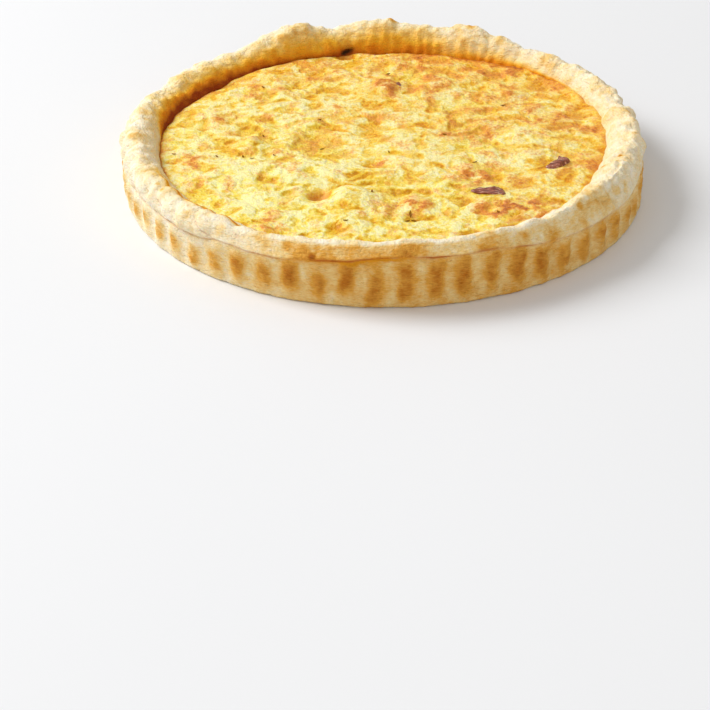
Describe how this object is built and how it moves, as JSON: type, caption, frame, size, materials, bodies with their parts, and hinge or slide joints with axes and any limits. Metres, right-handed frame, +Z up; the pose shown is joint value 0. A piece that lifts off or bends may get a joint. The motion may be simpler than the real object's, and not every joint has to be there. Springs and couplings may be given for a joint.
{
  "type": "bacon quiche",
  "caption": "Whole round bacon quiche: a fluted shortcrust shell with a rolled uneven rim, filled with baked custard that holds pieces of bacon in its top.",
  "frame": {"origin": "middle of the underside of the crust, on the plane that the quiche rests on", "axes": "+Z up through the middle of the filling; the picture looks along +Y, with +X to its right"},
  "size_m": [0.2592, 0.2586, 0.0344],
  "materials": {
    "baked_pastry": "matt flaky baked shortcrust, cream on the rim and golden on the wall",
    "baked_custard": "moist lumpy baked custard, yellow with golden brown spots",
    "fried_bacon": "dark reddish brown, slightly greasy"
  },
  "bodies": {
    "root": {"crust": "baked_pastry", "filling": "baked_custard", "bacon_1": "fried_bacon", "bacon_2": "fried_bacon", "bacon_3": "fried_bacon", "bacon_4": "fried_bacon"}
  },
  "joints": []
}
